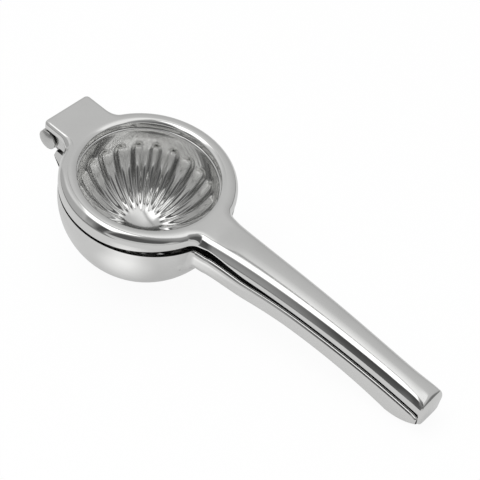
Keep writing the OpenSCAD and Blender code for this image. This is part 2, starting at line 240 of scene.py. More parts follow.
def fillet_gap(x, radius):
    """How far the fillet's circle at x still is from the ring's outer wall."""
    nx, ny = side_normal(x)
    return math.hypot(x - nx * radius, plain_w(x) - ny * radius) - RING_R - radius


low, high = RING_R - 4, RING_R + 8
for _ in range(40):
    middle = (low + high) / 2
    if fillet_gap(middle, ROOT_FILLET) < 0:
        low = middle
    else:
        high = middle
fillet_x = low
fillet_nx, fillet_ny = side_normal(fillet_x)
fillet_c = (fillet_x - fillet_nx * ROOT_FILLET, plain_w(fillet_x) - fillet_ny * ROOT_FILLET)
fillet_turn = math.degrees(math.atan2(fillet_c[1], fillet_c[0]))
heel_c = (-math.sqrt((RING_R + TAB_FILLET) ** 2 - (TAB_W + TAB_FILLET) ** 2), TAB_W + TAB_FILLET)
heel_turn = math.degrees(math.atan2(heel_c[1], heel_c[0]))
heel_touch = -heel_c[0] * RING_R / (RING_R + TAB_FILLET)


def nose_z(x, y):
    """Foot of the upper grip's end wall, which carries on the lower grip's nose."""
    bottom = NOSE_Z + NOSE_H * (1 - math.sqrt(1 - ((x - NOSE_X) / NOSE_L) ** 2))
    side = max(0.0, abs(y) - (tip_w - NOSE_EDGE_R))
    return bottom + NOSE_EDGE_R - math.sqrt(max(0.0, NOSE_EDGE_R ** 2 - side ** 2))


# The outline runs from the middle of the tip along the side, round the ring and the tab to the tab's middle.
# The other half is its mirror image.
ACROSS = 10
TIP_STEPS = 6
SIDE_STEPS = 80
ROOT_STEPS = 12
RING_STEPS = 96
HEEL_STEPS = 14
TAB_STEPS = 8
TAIL_STEPS = 5
tip_nx, tip_ny = side_normal(REACH - TIP_R)
side_x = REACH - TIP_R * (1 + tip_nx)
tip_w = plain_w(side_x) + TIP_R * (1 + tip_ny)
tip_turn = math.degrees(math.atan2(-tip_ny, -tip_nx))
tip_inner = REACH - edge_run(TIP_EDGE, 0, 90 - math.degrees(CROWN_SLOPE))[0]
mitre = (-1, (1 + tip_nx) / tip_ny)
side_pull = math.hypot(mitre[0] - tip_nx, mitre[1] - tip_ny)
stations = []
for i in range(ACROSS):
    y = (tip_w - TIP_R) * i / ACROSS
    stations.append(Station(REACH, y, -1, 0, TIP_EDGE, nose_z(REACH, y), "end", (0, mitre[1] * i / ACROSS)))
for x, y, ax, ay in arc_points((REACH - TIP_R, tip_w - TIP_R), TIP_R, 0, tip_turn, TIP_STEPS)[:-1]:
    foot = mix(cut_z(x), nose_z(x, y), ease((x - END_WALL_X) / END_WALL_L))
    stations.append(Station(x, y, -ax, -ay, TIP_EDGE, foot, "end", (mitre[0] + ax, mitre[1] + ay)))
for i in range(SIDE_STEPS):
    x = mix(side_x, fillet_x, i / SIDE_STEPS)
    nx, ny = side_normal(x)
    share = side_pull * clamp((x - side_x + TIP_LEAN_L) / TIP_LEAN_L)
    pull = (share * ny, -share * nx)
    stations.append(Station(x, plain_w(x), nx, ny, side_edge(x), cut_z(x), "side", pull))
start = math.degrees(math.atan2(fillet_ny, fillet_nx))
fillet_points = arc_points(fillet_c, ROOT_FILLET, start, fillet_turn - 180, ROOT_STEPS)
for i, (x, y, ax, ay) in enumerate(fillet_points[:-1]):
    edge = mixed_edge(GRIP_EDGE, RING_EDGE, ease(i / (ROOT_STEPS - 3)))
    stations.append(Station(x, y, ax, ay, edge, cut_z(x), "root"))
for x, y, ax, ay in arc_points((0, 0), RING_R, fillet_turn, heel_turn, RING_STEPS)[:-1]:
    stations.append(Station(x, y, -ax, -ay, RING_EDGE, cut_z(x), "ring"))
for i, (x, y, ax, ay) in enumerate(arc_points(heel_c, TAB_FILLET, heel_turn - 180, -90, HEEL_STEPS)):
    edge = mixed_edge(RING_EDGE, TAB_EDGE, ease(i / HEEL_STEPS))
    foot = mix(-SKIRT, -TAB_D, ease((-x - heel_touch) / HEEL_L))
    stations.append(Station(x, y, ax, ay, edge, foot, "heel"))
for i in range(1, TAB_STEPS + 1):
    x = mix(heel_c[0], -TAB_END + TAB_CORNER_R, i / TAB_STEPS)
    stations.append(Station(x, TAB_W, 0, -1, TAB_EDGE, -TAB_D, "tab"))
tail_c = (-TAB_END + TAB_CORNER_R, TAB_W - TAB_CORNER_R)
for x, y, ax, ay in arc_points(tail_c, TAB_CORNER_R, 90, 180, TAIL_STEPS)[1:]:
    stations.append(Station(x, y, -ax, -ay, TAB_EDGE, -TAB_D, "tail"))
for i in range(1, TAIL_STEPS + 1):
    stations.append(Station(-TAB_END, tail_c[1] * (1 - i / TAIL_STEPS), 1, 0, TAB_EDGE, -TAB_D, "tail"))

# Each section has a straight wall, at least WALL_MIN high, and then its edge's arc up to the top face.
WALL_STEPS = 3
ARC_STEPS = 18
WALL_MIN = 0.5
for s in stations:
    last = 90 - (math.degrees(crown_slope(s.x)) if s.zone in ("end", "side", "root") else 0.0)
    depth, height = edge_run(s.edge, 0, last)
    s.bx, s.by = s.inset(depth)
    level = top_z(s.bx, s.by) - height
    wall_foot = cut_z(side_x) if s.zone == "end" else s.foot
    first = math.degrees(math.asin(clamp((wall_foot + WALL_MIN - level) / s.edge["r"])))
    wall_in, wall_up = edge_run(s.edge, 0, first)
    s.rows = []
    for k in range(WALL_STEPS):
        z = mix(s.foot, level + wall_up, k / WALL_STEPS)
        s.rows.append((*s.inset(wall_in), z))
    for k in range(ARC_STEPS + 1):
        d, h = edge_run(s.edge, 0, mix(first, last, k / ARC_STEPS))
        s.rows.append((*s.inset(d), level + h))


def across(s, steps):
    """Points over the top face from a station's edge to the centreline."""
    found = []
    for j in range(steps + 1):
        y = mix(s.by, 0, j / steps)
        found.append((s.bx, y, top_z(s.bx, y)))
    return found


def bridge(first, second, steps):
    """Points over the top face between two lists of points."""
    rows = []
    for i in range(steps + 1):
        row = []
        for a, b in zip(first, second):
            x, y = mix(a[0], b[0], i / steps), mix(a[1], b[1], i / steps)
            row.append((x, y, top_z(x, y)))
        rows.append(row)
    return rows


tight_in = LIP_TIGHT_R * (1 - math.cos(math.radians(BEND_AT)))
lip_r = OPEN_R + tight_in + LIP_R * math.cos(math.radians(BEND_AT))
IN_STEPS = 4


def lip_turn(s):
    """Direction, in degrees, of the place on the ring's lip that faces a station."""
    return math.degrees(math.atan2(s.by, s.bx))


def on_lip(turn):
    a = math.radians(turn)
    return lip_r * math.cos(a), lip_r * math.sin(a), 0.0


def zone(*names):
    return [s for s in stations if s.zone in names]


root_open = lip_turn(zone("root")[0])
tab_open = 180 - lip_turn(zone("heel")[-1])
ring_side = zone("root", "ring", "heel")
lip_turns = ([root_open * j / ACROSS for j in range(ACROSS)] + [lip_turn(s) for s in ring_side]
             + [180 - tab_open * (1 - j / ACROSS) for j in range(1, ACROSS + 1)])
grids = [[s.rows for s in stations]]
grids.append([[row[0] for row in bridge([(s.bx, s.by)], [on_lip(lip_turn(s))], IN_STEPS)]
              for s in ring_side])
grids.append([across(s, ACROSS) for s in zone("side") + zone("root")[:1]])
root_side = zone("root")[0]
grids.append(bridge(across(root_side, ACROSS),
                    [on_lip(root_open * (1 - j / ACROSS)) for j in range(ACROSS + 1)], IN_STEPS))
heel_side = zone("heel")[-1]
grids.append(bridge(across(heel_side, ACROSS),
                    [on_lip(180 - tab_open * (1 - j / ACROSS)) for j in range(ACROSS + 1)], IN_STEPS))
grids.append([across(s, ACROSS) for s in [heel_side] + zone("tab")])
tab_last = zone("tab")[-1]
tail_edge = [(s.bx, s.by) for s in zone("tail")]
grids.append(bridge(across(tab_last, ACROSS), [(tab_last.bx, tab_last.by)] + tail_edge, 2))

# The lip: from the top face over a wide bend and a tight one, and straight down the collar.
WIDE_STEPS = 8
TIGHT_STEPS = 6
COLLAR_STEPS = 3
bend_z = -LIP_R + (LIP_R - LIP_TIGHT_R) * math.sin(math.radians(BEND_AT))
lip_grid = []
for turn in lip_turns:
    ax, ay = math.cos(math.radians(turn)), math.sin(math.radians(turn))
    column = []
    for k in range(WIDE_STEPS):
        a = math.radians(mix(90, BEND_AT, k / WIDE_STEPS))
        r = lip_r - LIP_R * math.cos(a)
        column.append((r * ax, r * ay, -LIP_R + LIP_R * math.sin(a)))
    for k in range(TIGHT_STEPS + 1):
        a = math.radians(mix(BEND_AT, 0, k / TIGHT_STEPS))
        r = OPEN_R + LIP_TIGHT_R - LIP_TIGHT_R * math.cos(a)
        column.append((r * ax, r * ay, bend_z + LIP_TIGHT_R * math.sin(a)))
    for k in range(1, COLLAR_STEPS + 1):
        column.append((OPEN_R * ax, OPEN_R * ay, mix(bend_z, -COLLAR, k / COLLAR_STEPS)))
    lip_grid.append(column)
grids.append(lip_grid)


def mirrored(grid):
    return [[(p[0], -p[1], p[2]) for p in row] for row in grid]


def mesh_piece(name, grids, towards, caps=()):
    """A smooth piece from grids of points in the arms' frame and flat caps, welded where they share an edge.
    Its first face is turned towards the point given, and the others follow it."""
    work = bmesh.new()
    for grid in grids:
        rows = [[work.verts.new(p) for p in row] for row in grid]
        for a, b in zip(rows, rows[1:]):
            for j in range(len(a) - 1):
                work.faces.new((a[j], a[j + 1], b[j + 1], b[j]))
    for cap in caps:
        work.faces.new([work.verts.new(p) for p in cap])
    bmesh.ops.remove_doubles(work, verts=work.verts[:], dist=1e-4)
    bmesh.ops.dissolve_degenerate(work, edges=work.edges[:], dist=1e-5)
    bmesh.ops.recalc_face_normals(work, faces=work.faces[:])
    work.faces.ensure_lookup_table()
    face = work.faces[0]
    if face.normal.dot(Vector(towards) - face.calc_center_median()) < 0:
        bmesh.ops.reverse_faces(work, faces=work.faces[:])
    for face in work.faces:
        face.smooth = True
    mesh = bpy.data.meshes.new(name)
    work.to_mesh(mesh)
    work.free()
    mesh.transform(arm_frame)
    piece = bpy.data.objects.new(name, mesh)
    bpy.context.scene.collection.objects.link(piece)
    return piece


def thicken(piece, sheet, lining=0):
    """Gives a piece its sheet thickness behind its faces. A lining of 1 puts its second material there."""
    solid = piece.modifiers.new("sheet", "SOLIDIFY")
    solid.material_offset = lining
    solid.thickness = sheet * MM
    solid.offset = -1
    solid.use_even_offset = True


def soften(piece, edge, segments=2):
    """Breaks a piece's sharp edges as polishing does."""
    bevel = piece.modifiers.new("edge", "BEVEL")
    bevel.width = edge * MM
    bevel.segments = segments
    bevel.limit_method = "ANGLE"
    bevel.angle_limit = math.radians(50)
    bevel.harden_normals = True


upper_arm = mesh_piece("upper_arm_pressing", grids + [mirrored(g) for g in grids], (200, 0, 0))
# Its inner faces get the second material, the painted shade of the walls' inside.
thicken(upper_arm, SHEET, lining=1)
soften(upper_arm, edge=0.25)


def node_group(name, inputs, outputs):
    """An empty shader node group with its named sockets, which all carry floats."""
    group = bpy.data.node_groups.new(name, "ShaderNodeTree")
    for in_out, labels in (("INPUT", inputs), ("OUTPUT", outputs)):
        for label in labels:
            group.interface.new_socket(label, in_out=in_out, socket_type="NodeSocketFloat")
    return group, group.nodes.new("NodeGroupInput"), group.nodes.new("NodeGroupOutput")


def math_node(tree, operation, first, second):
    node = tree.nodes.new("ShaderNodeMath")
    node.operation = operation
    for socket, value in zip(node.inputs, (first, second)):
        if isinstance(value, (int, float)):
            socket.default_value = value
        else:
            tree.links.new(value, socket)
    return node.outputs[0]


def range_node(tree, value, low, high, to_low, to_high, smooth=False):
    node = tree.nodes.new("ShaderNodeMapRange")
    node.interpolation_type = "SMOOTHSTEP" if smooth else "LINEAR"
    for label, number in zip(("From Min", "From Max", "To Min", "To Max"), (low, high, to_low, to_high)):
        node.inputs[label].default_value = number
    tree.links.new(value, node.inputs["Value"])
    return node.outputs["Result"]


def noise_node(tree, vector, scale, detail, stretch=(1, 1, 1)):
    place = tree.nodes.new("ShaderNodeMapping")
    place.inputs["Scale"].default_value = stretch
    tree.links.new(vector, place.inputs["Vector"])
    node = tree.nodes.new("ShaderNodeTexNoise")
    node.inputs["Detail"].default_value = detail
    node.inputs["Scale"].default_value = scale
    tree.links.new(place.outputs[0], node.inputs["Vector"])
    return node.outputs["Fac"]


# What polishing and use leave on all the steel: soft clouds where the mop pressed less, and hairlines.
polish, polish_in, polish_out = node_group("polished_grain", ["Roughness", "Spread", "Hairlines"],
                                           ["Roughness", "Height", "Tone"])
where = polish.nodes.new("ShaderNodeTexCoord").outputs["Object"]
clouds = noise_node(polish, where, scale=55, detail=3)
fine = noise_node(polish, where, scale=900, detail=2)
hairs = noise_node(polish, where, scale=1, detail=3, stretch=(160, 2600, 2600))
cloudy = math_node(polish, "MULTIPLY", range_node(polish, clouds, 0.35, 0.7, 0, 1, smooth=True),
                   polish_in.outputs["Spread"])
grit = math_node(polish, "MULTIPLY", fine, math_node(polish, "MULTIPLY", polish_in.outputs["Spread"], 0.4))
rough = math_node(polish, "ADD", polish_in.outputs["Roughness"], math_node(polish, "ADD", cloudy, grit))
polish.links.new(rough, polish_out.inputs["Roughness"])
lines = math_node(polish, "MULTIPLY", range_node(polish, hairs, 0.6, 0.72, 0, 1, smooth=True),
                  polish_in.outputs["Hairlines"])
polish.links.new(lines, polish_out.inputs["Height"])
polish.links.new(range_node(polish, clouds, 0.3, 0.75, 0, 1, smooth=True), polish_out.inputs["Tone"])


def steel(name, light, dark, roughness, spread, hairlines):
    """One finish of steel: its tone and roughness drift a little with the clouds that polishing leaves."""
    material = bpy.data.materials.new(name)
    material.use_nodes = True
    tree = material.node_tree
    shader = tree.nodes["Principled BSDF"]
    shader.inputs["Metallic"].default_value = 1.0
    grain = tree.nodes.new("ShaderNodeGroup")
    grain.node_tree = polish
    grain.inputs["Roughness"].default_value = roughness
    grain.inputs["Spread"].default_value = spread
    grain.inputs["Hairlines"].default_value = hairlines
    tone = tree.nodes.new("ShaderNodeMix")
    tone.data_type = "RGBA"
    tone.inputs["A"].default_value = (*light, 1)
    tone.inputs["B"].default_value = (*dark, 1)
    bump = tree.nodes.new("ShaderNodeBump")
    bump.inputs["Strength"].default_value = 0.25
    bump.inputs["Distance"].default_value = 0.00002
    tree.links.new(grain.outputs["Tone"], tone.inputs["Factor"])
    tree.links.new(tone.outputs["Result"], shader.inputs["Base Color"])
    tree.links.new(grain.outputs["Roughness"], shader.inputs["Roughness"])
    tree.links.new(grain.outputs["Height"], bump.inputs["Height"])
    tree.links.new(bump.outputs["Normal"], shader.inputs["Normal"])
    return material


# The walls' inside is rough and painted near black: painted shade, so that the slits and hollows read dark.
arm_steel = steel("arm_steel", light=(0.80, 0.80, 0.79), dark=(0.77, 0.77, 0.76),
                  roughness=0.05, spread=0.03, hairlines=0.4)
inside_painted_shade = steel("inside_painted_shade", light=(0.10, 0.10, 0.10), dark=(0.06, 0.06, 0.06),
                     roughness=0.6, spread=0.15, hairlines=0.8)
upper_arm.data.materials.append(arm_steel)
upper_arm.data.materials.append(inside_painted_shade)
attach(upper_arm, "upper")
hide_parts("upper_arm")


# ---------------------------------------------------------------------------
# Press cup
# A deep cup pressed from thinner sheet, whose flutes break up the lemon's flesh. Its flange is welded under
# the ring's collar, so that a fine joint runs round below the lip. Its outside has a satin finish.

CUP_R = OPEN_R - 0.7
CUP_TOP = -4.02
CUP_SHEET = 1.2
FLUTES = 22
FLUTE_D = 1.5
FLUTE_TURN = 2.5
FLUTE_START = 14.0
FLUTE_ARCH = 5.0
FLUTE_RUN_IN = 7
FLUTE_RUN_OUT = 8
DISC_R = 10.0
PER_FLUTE = 16


def flute_depth(down, share):
    """Depth of a flute at an angle below the rim; share runs from -1 to 1 across it."""
    start = FLUTE_START + FLUTE_ARCH * share ** 2
    to_disc = CUP_R * math.cos(math.radians(down)) - DISC_R + 1
    ends = ease((down - start) / FLUTE_RUN_IN) * ease(to_disc / FLUTE_RUN_OUT)
    return FLUTE_D * ends * (0.5 + 0.5 * math.cos(math.pi * share))


# The angles below the rim, in degrees, at which the cup has points lie closest along the flutes.
cup_grid = []
flange = [(35.6, -0.35), (34.6, -0.35), (34.1, -0.35), (33.75, -0.42), (33.5, -0.65)]
downs = [2, 4, 7, 10, 12] + [14 + i * 1.5 for i in range(38)] + [mix(71, 88, i / 8) for i in range(1, 9)]
for i in range(FLUTES * PER_FLUTE + 1):
    turn = math.radians(FLUTE_TURN + i * 360 / (FLUTES * PER_FLUTE))
    share = (i / PER_FLUTE % 1) * 2 - 1
    ax, ay = math.cos(turn), math.sin(turn)
    column = [(r * ax, r * ay, CUP_TOP + z) for r, z in flange]
    for down in downs:
        r = CUP_R + flute_depth(down, share)
        a = math.radians(down)
        column.append((r * math.cos(a) * ax, r * math.cos(a) * ay, CUP_TOP - r * math.sin(a)))
    column.append((0, 0, CUP_TOP - CUP_R))
    cup_grid.append(column)
press_cup = mesh_piece("fluted_press_cup", [cup_grid], (35, 0, 20))
thicken(press_cup, CUP_SHEET, lining=1)
soften(press_cup, edge=0.15)
cup_steel = steel("cup_steel", light=(0.78, 0.78, 0.77), dark=(0.72, 0.72, 0.71),
                  roughness=0.09, spread=0.04, hairlines=0.2)
cup_satin = steel("cup_back", light=(0.70, 0.70, 0.69), dark=(0.64, 0.64, 0.63),
                  roughness=0.34, spread=0.06, hairlines=0.5)
press_cup.data.materials.append(cup_steel)
press_cup.data.materials.append(cup_satin)
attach(press_cup, "upper")
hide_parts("press_cup")


# ---------------------------------------------------------------------------
# Upper bracket
# A folded steel plate welded under the hinge tab. Its two round-ended ears carry the pin on either side of
# the lower arm's knuckle, and a web joins them.

EAR_Y = 13.28
EAR_T = 2.4
EAR_R = 5.3
EAR_LOW = PIN_AXIS.z - 1.6
WEB_T = 1.8
BRACKET_X = -TAB_END + 1.22
WEB_END = -RING_R - 0.6
PIN_R = 2.4
PIN_PLAY = 0.05
EAR_END = -41.58


def outline_arc(centre, radius, start, end, steps):
    """Points on an arc, angles in degrees."""
    return [(p[0], p[1]) for p in arc_points(centre, radius, start, end, steps)]


def plate_piece(name, plates):
    """One piece from flat plates, each an outline in the arms' XZ plane between two places along Y."""
    work = bmesh.new()
    for outline, y0, y1 in plates:
        near = [work.verts.new((x, y0, z)) for x, z in outline]
        far = [work.verts.new((x, y1, z)) for x, z in outline]
        work.faces.new(near)
        work.faces.new(far)
        for i in range(len(outline)):
            j = (i + 1) % len(outline)
            work.faces.new((near[i], near[j], far[j], far[i]))
    bmesh.ops.recalc_face_normals(work, faces=work.faces[:])
    for face in work.faces:
        face.smooth = True
    mesh = bpy.data.meshes.new(name)
    work.to_mesh(mesh)
    work.free()
    mesh.transform(arm_frame)
    piece = bpy.data.objects.new(name, mesh)
    bpy.context.scene.collection.objects.link(piece)
    return piece


def cut_away(piece, cutter):
    """Takes the cutter's shape out of a piece, and throws the cutter away."""
    cut = piece.modifiers.new("cut", "BOOLEAN")
    cut.operation = "DIFFERENCE"
    cut.solver = "EXACT"
    cut.use_self = True
    cut.object = cutter
    seen = piece.evaluated_get(bpy.context.evaluated_depsgraph_get())
    piece.data = bpy.data.meshes.new_from_object(seen)
    piece.modifiers.clear()
    bpy.data.objects.remove(cutter)


def pin_drill():
    """The pin's bore through ears and knuckle."""
    bore = outline_arc((PIN_AXIS.x, PIN_AXIS.z), PIN_R + PIN_PLAY, 0, 360, 48)[:-1]
    return plate_piece("drill", [(bore, -30, 30)])


under_tab = -SHEET - 0.02
foot_turn = math.degrees(math.asin((EAR_LOW - PIN_AXIS.z) / EAR_R))
ear = [(BRACKET_X, under_tab)]
back_turn = math.degrees(math.acos((BRACKET_X - PIN_AXIS.x) / EAR_R))
ear += outline_arc((PIN_AXIS.x, PIN_AXIS.z), EAR_R, back_turn, 360 + foot_turn, 40)
ear += [(EAR_END - 1.5, EAR_LOW), (EAR_END - 0.4, EAR_LOW + 0.5), (EAR_END, EAR_LOW + 1.6)]
ear += [(EAR_END, under_tab)]
web = [(BRACKET_X, under_tab), (WEB_END, under_tab), (WEB_END, under_tab - WEB_T)]
web += [(BRACKET_X, under_tab - WEB_T)]
ears = [(ear, -EAR_Y, -EAR_Y + EAR_T), (ear, EAR_Y - EAR_T, EAR_Y)]
upper_bracket = plate_piece("tab_bracket", ears + [(web, -EAR_Y + EAR_T, EAR_Y - EAR_T)])
cut_away(upper_bracket, pin_drill())
soften(upper_bracket, edge=0.3)
bracket_steel = steel("bracket_steel", light=(0.74, 0.74, 0.73), dark=(0.68, 0.68, 0.67),
                      roughness=0.16, spread=0.06, hairlines=0.8)
upper_bracket.data.materials.append(bracket_steel)
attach(upper_bracket, "upper")
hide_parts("upper_bracket")


# ---------------------------------------------------------------------------
# Bowl
# A deep half-round bowl of thick sheet that takes the lemon half. It is drawn in one pressing, and its flat
# base has two circles of drain holes.

BOWL_R = RING_R - 0.2
RIM_Z = -SKIRT - 2.0
BALL_Z = RIM_Z - 3.6
BASE_R = 17.0
BASE_Z = BALL_Z - math.sqrt(BOWL_R ** 2 - BASE_R ** 2)
HOLE_D = 4.0
HOLE_PITCH = 6.2
RIM_RISE = 0.5


def bowl_rim(x):
    """Height of the bowl's rim, which rises a little towards the grips."""
    return RIM_Z + RIM_RISE * skirt_share(x)


# Radii and heights from the rim to the base. The first four lie between the rim, which isn't level, and the
# middle of the ball, and lathe gives them their heights.
base_turn = -math.degrees(math.acos(BASE_R / BOWL_R))
bowl_line = [(BOWL_R, None) for i in range(4)]
bowl_line += outline_arc((0, BALL_Z), BOWL_R, 0, base_turn, 44)
bowl_line += [(r, BASE_Z) for r in (16.2, 15, 13, 0)]


def lathe(line, steps):
    """Grid of points from a half outline of radii and heights, turned about the ring's axis."""
    grid = []
    for i in range(steps + 1):
        a = 2 * math.pi * i / steps
        rim = bowl_rim(BOWL_R * math.cos(a))
        levels = [mix(rim, BALL_Z, j / 4) if z is None else z for j, (r, z) in enumerate(line)]
        grid.append([(r * math.cos(a), r * math.sin(a), z) for (r, _), z in zip(line, levels)])
    return grid


def drain_drill():
    """Upright cylinders for two circles of drain holes."""
    grids, caps = [], []
    for ring, count in ((1, 6), (2, 12)):
        for i in range(count):
            a = 2 * math.pi * (i + 0.5) / count
            x, y = HOLE_PITCH * ring * math.cos(a), HOLE_PITCH * ring * math.sin(a)
            low = [(px, py, BASE_Z - 5) for px, py in outline_arc((x, y), HOLE_D / 2, 0, 360, 32)]
            high = [(px, py, BASE_Z + 5) for px, py, _ in low]
            grids.append([[a, b] for a, b in zip(low, high)])
            caps += [low[:-1], high[:-1]]
    return mesh_piece("drill", grids, (HOLE_PITCH * 20, 0, BASE_Z), caps)


bowl = mesh_piece("bowl_shell", [lathe(bowl_line, 160)], (200, 0, -12))
thicken(bowl, SHEET)
cut_away(bowl, drain_drill())
soften(bowl, edge=0.35, segments=3)
bowl_steel = steel("bowl_steel", light=(0.80, 0.80, 0.79), dark=(0.76, 0.76, 0.75),
                   roughness=0.13, spread=0.05, hairlines=0.4)
bowl.data.materials.append(bowl_steel)
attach(bowl, "lower")
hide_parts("bowl")


# ---------------------------------------------------------------------------
# Lower grip
# A deeper channel of the same sheet with a rolled rim and a nose that rises at its tip. Its root is welded
# to the bowl and the weld is polished down to a soft crease.

LOW_X = [ROOT_X + (NOSE_X - ROOT_X) * i / 3 for i in range(4)]
LOW_D = [12.0, 10.7, 10.6, 12.7]
LOW_EDGE_R = NOSE_EDGE_R
SLIT_ROOT = 5.9
SLIT = 3.9
SLIT_L = 50.0
RIM_R = 1.5
RIM_IN_R = 0.4
LEAN_R = 8.0
LEAN_TURN = 20.0
WELD_X = 40.5
WELD_R = 2.5
WELD_DEPTH = 0.8
LOW_START = 36.5
LOW_END = REACH - SHEET - 0.1


def rim_at(x):
    """Height of the channel's rim, which carries on the bowl's."""
    if x < ROOT_X:
        return bowl_rim(x)
    return cut_z(x) - mix(SLIT_ROOT, SLIT, ease((x - ROOT_X) / SLIT_L))


def low_z(x):
    """Height of the channel's underside."""
    base_x = min(x, NOSE_X)
    level = rim_at(base_x) - curve(max(base_x, ROOT_X), LOW_X, LOW_D)
    return level + NOSE_H * (1 - math.sqrt(1 - (max(0, x - NOSE_X) / NOSE_L) ** 2))


def grip_w(x):
    """The channel's half width, with the fillet at its root and the rounded corner at its tip."""
    corner = max(0.0, TIP_R - (REACH - x))
    width = plain_w(max(x, fillet_x)) - (TIP_R - math.sqrt(TIP_R ** 2 - corner ** 2))
    into = clamp((fillet_x - x) / ROOT_FILLET)
    return width + ROOT_FILLET * (1 - math.sqrt(1 - into ** 2))


def weld_drop(x):
    """How far the root's weld spreads down on the bowl."""
    into = clamp((WELD_X + WELD_R - x) / WELD_R)
    return WELD_R * (1 - math.sqrt(1 - into ** 2))


def grip_section(w, rim, bottom):
    """Half section from the middle of the channel's inside over its rolled rim to the middle of its outside.
    Where the nose leaves it less room its corners are lower and its walls lean less."""
    room = rim - bottom - RIM_R
    corner_h = min(LOW_EDGE_R, room)
    corner_y, corner_z = w - LOW_EDGE_R, bottom + corner_h
    lean_turn = min(math.radians(LEAN_TURN), math.asin(clamp((room - corner_h) / (LEAN_R - RIM_R))))
    lean_in = LEAN_R * (1 - math.cos(lean_turn))
    lean_end = math.degrees(lean_turn)

    def corner(r, start, end, steps):
        squash = (corner_h - LOW_EDGE_R + r) / r
        arc = outline_arc((corner_y, corner_z), r, start, end, steps)
        return [(y, mix(corner_z, z, squash)) for y, z in arc]

    half = [(corner_y * k / 5, bottom + SHEET) for k in range(5)]
    half += corner(LOW_EDGE_R - SHEET, -90, 0, 8)
    half += [(w - SHEET - lean_in * ease(k / 4), mix(corner_z, rim - RIM_IN_R, k / 4)) for k in range(1, 4)]
    half += outline_arc((w - SHEET - lean_in + RIM_IN_R, rim - RIM_IN_R), RIM_IN_R, 180, 90, 3)
    half += outline_arc((w - lean_in - RIM_R * math.cos(lean_turn), rim - RIM_R), RIM_R, 90, lean_end, 8)
    lean_z = rim - RIM_R + (RIM_R - LEAN_R) * math.sin(lean_turn)
    half += outline_arc((w - LEAN_R, lean_z), LEAN_R, lean_end, 0, 5)[1:]
    half += [(w, mix(lean_z, corner_z, k / 3)) for k in range(1, 3)]
    half += corner(LOW_EDGE_R, 0, -90, 12)
    return half + [(corner_y * (1 - k / 5), bottom) for k in range(1, 6)]


def bowl_core():
    """The bowl's outer form, a little smaller: what is welded to the bowl is cut to it."""
    line = [(0, BALL_Z + 30), (BOWL_R - WELD_DEPTH, BALL_Z + 30), (BOWL_R - WELD_DEPTH, BALL_Z + 15)]
    line += outline_arc((0, BALL_Z), BOWL_R - WELD_DEPTH, 0, -90, 40)
    steps = 128
    turns = [2 * math.pi * i / steps for i in range(steps + 1)]
    grid = [[(r * math.cos(a), r * math.sin(a), z) for r, z in line] for a in turns]
    return mesh_piece("core", [grid], (0, 0, BALL_Z + 90))


low_places = [mix(LOW_START, fillet_x, i / 14) for i in range(14)]
low_places += [mix(fillet_x, NOSE_X, i / 60) for i in range(60)]
low_places += [mix(NOSE_X, LOW_END, i / 16) for i in range(17)]
low_grid = []
for x in low_places:
    half = grip_section(grip_w(x), rim_at(x), low_z(x) - weld_drop(x))
    low_grid.append([(x, y, z) for y, z in half] + [(x, -y, z) for y, z in reversed(half[:-1])])
low_caps = [low_grid[0][:-1], low_grid[-1][:-1]]
lower_grip = mesh_piece("lower_grip_channel", [low_grid], (100, 0, -10), low_caps)
cut_away(lower_grip, bowl_core())
lower_grip.data.materials.append(arm_steel)
lower_grip.data.materials.append(inside_painted_shade)
# Faces inside the channel get the second material: painted shade, as on the upper arm's walls.
to_arms = arm_frame.inverted()
for face in lower_grip.data.polygons:
    x, y, z = to_arms @ face.center
    inner_w = grip_w(x) - SHEET + 0.05
    inner_z = low_z(x) - weld_drop(x) + SHEET - 0.05
    if abs(y) < inner_w and inner_z < z < rim_at(x) - 0.3:
        face.material_index = 1
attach(lower_grip, "lower")
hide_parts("lower_grip")


# ---------------------------------------------------------------------------
# Lower bracket
# A steel block on the back of the bowl: a wide stem that is welded to the bowl's wall, and a knuckle between
# the ears that turns on the pin.

KNUCKLE_R = 4.2
KNUCKLE_Y = 10.58
SHOULDER_X = PIN_AXIS.x + 5.2
SHOULDER_Z = EAR_LOW - 2.8

stem = [(SHOULDER_X, SHOULDER_Z), (SHOULDER_X - 1.3, SHOULDER_Z - 4), (SHOULDER_X + 3.3, SHOULDER_Z - 10.3),
        (SHOULDER_X + 11.3, SHOULDER_Z - 15.5), (-40.4, SHOULDER_Z - 15.5), (-41.2, SHOULDER_Z)]
knuckle = outline_arc((PIN_AXIS.x, PIN_AXIS.z), KNUCKLE_R, -50, 230, 40)
knuckle += [(SHOULDER_X - 1, SHOULDER_Z - 3), (SHOULDER_X + 2, SHOULDER_Z - 1)]
lower_bracket = plate_piece("bowl_bracket", [(stem, -EAR_Y, EAR_Y), (knuckle, -KNUCKLE_Y, KNUCKLE_Y)])
cut_away(lower_bracket, bowl_core())
cut_away(lower_bracket, pin_drill())
soften(lower_bracket, edge=0.4)
lower_bracket.data.materials.append(bracket_steel)
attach(lower_bracket, "lower")
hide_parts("lower_bracket")


# ---------------------------------------------------------------------------
# Hinge pin, washers and cap
# A turned steel pin with a low domed head. A washer lies under the head and another under the cap that is
# pressed on the pin's far end. Both are painted near black, as painted shade in the gap under the head.

HEAD_R = 5.1
HEAD_H = 2.0
WASHER_R = 4.2
WASHER_T = 0.7
CAP_R = 4.6
CAP_H = 3.2


def turned_piece(name, line, side, steps=64):
    """A piece turned on the pin's axis; the line holds radii and places along it, outwards on one side."""
    grid = []
    for i in range(steps + 1):
        ax, az = math.cos(2 * math.pi * i / steps), math.sin(2 * math.pi * i / steps)
        grid.append([(PIN_AXIS.x + r * ax, side * y, PIN_AXIS.z + r * az) for r, y in line])
    return mesh_piece(name, [grid], (PIN_AXIS.x + line[0][0] * 20 + 1, side * line[0][1] * 1.01, PIN_AXIS.z))


